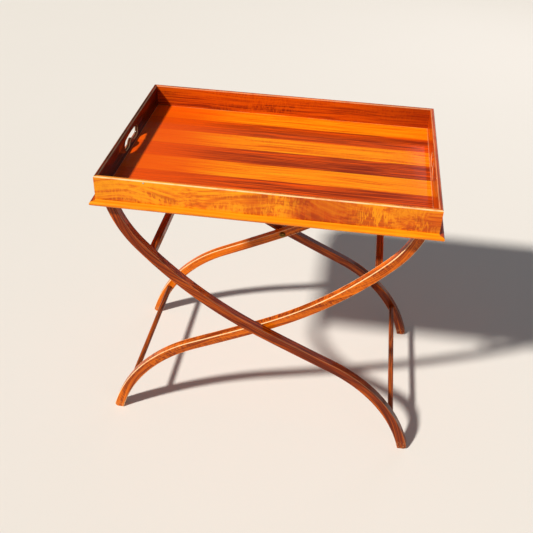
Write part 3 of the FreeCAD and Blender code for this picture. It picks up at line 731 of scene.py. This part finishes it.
class TRAYTABLE_OT_strap(bpy.types.Operator):
    """Model the webbing strap over both rails"""
    bl_idname = "traytable.strap"
    bl_label = "Webbing strap"

    def execute(self, context):
        settings = context.scene.tray_table.strap
        low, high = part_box("strap")
        half = settings.thickness / 2
        end_x = high.x - half
        top_z = high.z - half
        path = self.path(end_x, low.z, top_z, settings.corner, settings.sag)
        width = high.y - low.y
        columns = len(path) - 1
        rows = 12  # across the webbing
        bpy.ops.object.select_all(action="DESELECT")
        bpy.ops.mesh.primitive_grid_add(x_subdivisions=columns, y_subdivisions=rows, size=1)
        strap = bpy.context.active_object
        strap.name = "webbing_strap"
        mesh = strap.data
        walked = [0.0]
        for a, b in zip(path, path[1:]):
            walked.append(walked[-1] + (b - a).length)
        flat_places = {}
        for vertex in mesh.vertices:
            # the grid is one unit square about its middle
            column = round((vertex.co.x + 0.5) * columns)
            across = vertex.co.y
            flat_places[vertex.index] = (walked[column], (across + 0.5) * width)
            point = path[column]
            vertex.co = (point.x, across * width, point.z)
        layer = mesh.uv_layers.active or mesh.uv_layers.new(name="webbing")
        for loop in mesh.loops:
            layer.data[loop.index].uv = flat_places[loop.vertex_index]
        thick = strap.modifiers.new("thickness", "SOLIDIFY")
        thick.thickness = settings.thickness
        thick.offset = 0
        thick.use_even_offset = True
        rounded = strap.modifiers.new("selvedge", "BEVEL")
        rounded.width = settings.thickness * 0.3
        rounded.segments = 2
        rounded.limit_method = "ANGLE"
        rounded.angle_limit = math.radians(60)
        apply_modifiers(strap)
        bpy.ops.object.shade_smooth_by_angle(angle=math.radians(50))
        mesh.materials.append(jute_webbing())
        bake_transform(strap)
        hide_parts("strap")
        return {"FINISHED"}

    def path(self, end_x, flap_end, top_z, corner, sag):
        """Points along the middle of the strap: up one flap, round the rail, across, and down."""
        flap_points = 5
        corner_steps = 6
        points = []
        for i in range(flap_points):
            height = flap_end + (top_z - corner - flap_end) * i / flap_points
            points.append(Vector((-end_x, 0, height)))
        for i in range(corner_steps + 1):
            angle = math.pi / 2 * i / corner_steps
            points.append(Vector((-end_x + corner * (1 - math.cos(angle)), 0,
                                  top_z - corner * (1 - math.sin(angle)))))
        first_end = len(points)
        rail_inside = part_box("inner_upper_rail")[0].x
        span_steps = 80
        reach = end_x - corner
        for i in range(1, span_steps):
            x = -reach + 2 * reach * i / span_steps
            droop = max(0.0, 1 - (x / rail_inside) ** 2) * sag
            points.append(Vector((x, 0, top_z - droop)))
        second_end = [Vector((-p.x, 0, p.z)) for p in reversed(points[:first_end])]
        return points + second_end


class TRAYTABLE_OT_studio(bpy.types.Operator):
    """Lay the pale floor and set the soft lights and the camera"""
    bl_idname = "traytable.studio"
    bl_label = "Studio"

    def execute(self, context):
        studio = context.scene.tray_table.studio
        bpy.ops.object.select_all(action="DESELECT")
        bpy.ops.mesh.primitive_plane_add(size=24, location=(0, 0, 0))
        ground = bpy.context.active_object
        ground.name = "studio_floor"
        ground.data.materials.append(studio_paper())
        self.key(studio)
        self.lamp("fill", (2.4, -3.0, 1.8), 2.6, studio.fill_power, studio.fill_colour)
        self.lamp("sheen", (1.35, 2.9, 1.75), 1.8, studio.sheen_power, studio.sheen_colour)
        world = bpy.data.worlds.new("studio")
        world.use_nodes = True
        background = world.node_tree.nodes["Background"]
        background.inputs["Color"].default_value = (*studio.sky_colour, 1)
        background.inputs["Strength"].default_value = studio.sky
        context.scene.world = world
        context.scene.view_settings.view_transform = "Standard"
        self.camera(context)
        return {"FINISHED"}

    def key(self, studio):
        """A sun lamp from the left and in front, 44 degrees up, so the floor is evenly lit."""
        direction = Vector((-0.73, -0.74, 1.0))
        bpy.ops.object.light_add(type="SUN", location=(-3, -3, 4))
        lamp = bpy.context.active_object
        lamp.name = "key_light"
        lamp.data.energy = studio.key_strength
        lamp.data.angle = studio.key_spread
        lamp.data.color = studio.key_colour
        lamp.rotation_euler = direction.to_track_quat("Z", "Y").to_euler()

    def lamp(self, name, place, size, power, colour):
        """A round soft lamp that faces the middle of the table."""
        middle = Vector((0, 0, 0.45))
        bpy.ops.object.light_add(type="AREA", location=place)
        lamp = bpy.context.active_object
        lamp.name = name + "_light"
        lamp.data.shape = "DISK"
        lamp.data.size = size
        lamp.data.energy = power
        lamp.data.color = colour
        lamp.rotation_euler = (middle - Vector(place)).to_track_quat("-Z", "Y").to_euler()

    def camera(self, context):
        """A standing viewer's camera, in front and a little to the right, looking down."""
        sensor = 36
        # focal length over the width of the view
        focal_share = 755.43 / 533
        # radians; yaw is positive to the right
        pitch = 0.62723
        yaw = -0.11558
        roll = -0.03991
        forward = Vector((math.sin(yaw) * math.cos(pitch), math.cos(yaw) * math.cos(pitch),
                          -math.sin(pitch)))
        level = Vector((math.cos(yaw), -math.sin(yaw), 0))
        down = forward.cross(level)
        right = math.cos(roll) * level + math.sin(roll) * down
        up = math.sin(roll) * level - math.cos(roll) * down
        bpy.ops.object.camera_add(location=(0.14944, -1.43654, 1.37459))
        camera = bpy.context.active_object
        camera.name = "viewer"
        turn = Matrix((right, up, -forward)).transposed()
        camera.rotation_euler = turn.to_euler()
        camera.data.sensor_width = sensor
        camera.data.lens = sensor * focal_share
        camera.data.clip_end = 60
        context.scene.camera = camera


class TRAYTABLE_PT_panel(bpy.types.Panel):
    """Operators that build the table's looks"""
    bl_idname = "TRAYTABLE_PT_panel"
    bl_label = "Tray Table"
    bl_space_type = "VIEW_3D"
    bl_region_type = "UI"
    bl_category = "Tray Table"

    def draw(self, context):
        layout = self.layout
        settings = context.scene.tray_table
        for group, operators in STEPS:
            box = layout.box()
            for operator in operators:
                box.operator(operator.bl_idname)
            finish = getattr(settings, group)
            for name in finish.bl_rna.properties.keys():
                if name not in ("rna_type", "name"):
                    box.prop(finish, name)


STEPS = [
    ("tray", [TRAYTABLE_OT_long_sides, TRAYTABLE_OT_ends, TRAYTABLE_OT_lips, TRAYTABLE_OT_floor_boards]),
    ("stand", [TRAYTABLE_OT_legs, TRAYTABLE_OT_rails, TRAYTABLE_OT_metalwork]),
    ("strap", [TRAYTABLE_OT_strap]),
    ("studio", [TRAYTABLE_OT_studio]),
]
SETTINGS = [TrayFinish, StandFinish, StrapFinish, StudioSettings, TableSettings]


def register():
    """Register the settings, the operators and the panel."""
    for settings in SETTINGS:
        bpy.utils.register_class(settings)
    bpy.types.Scene.tray_table = PointerProperty(type=TableSettings)
    for _, operators in STEPS:
        for operator in operators:
            bpy.utils.register_class(operator)
    bpy.utils.register_class(TRAYTABLE_PT_panel)


def unregister():
    """Take everything that register added away again."""
    bpy.utils.unregister_class(TRAYTABLE_PT_panel)
    for _, operators in STEPS:
        for operator in operators:
            bpy.utils.unregister_class(operator)
    del bpy.types.Scene.tray_table
    for settings in reversed(SETTINGS):
        bpy.utils.unregister_class(settings)


def main():
    """Run every operator in order."""
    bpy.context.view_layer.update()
    register()
    for _, operators in STEPS:
        for operator in operators:
            section, name = operator.bl_idname.split(".")
            getattr(getattr(bpy.ops, section), name)()


if __name__ == "__main__":
    main()
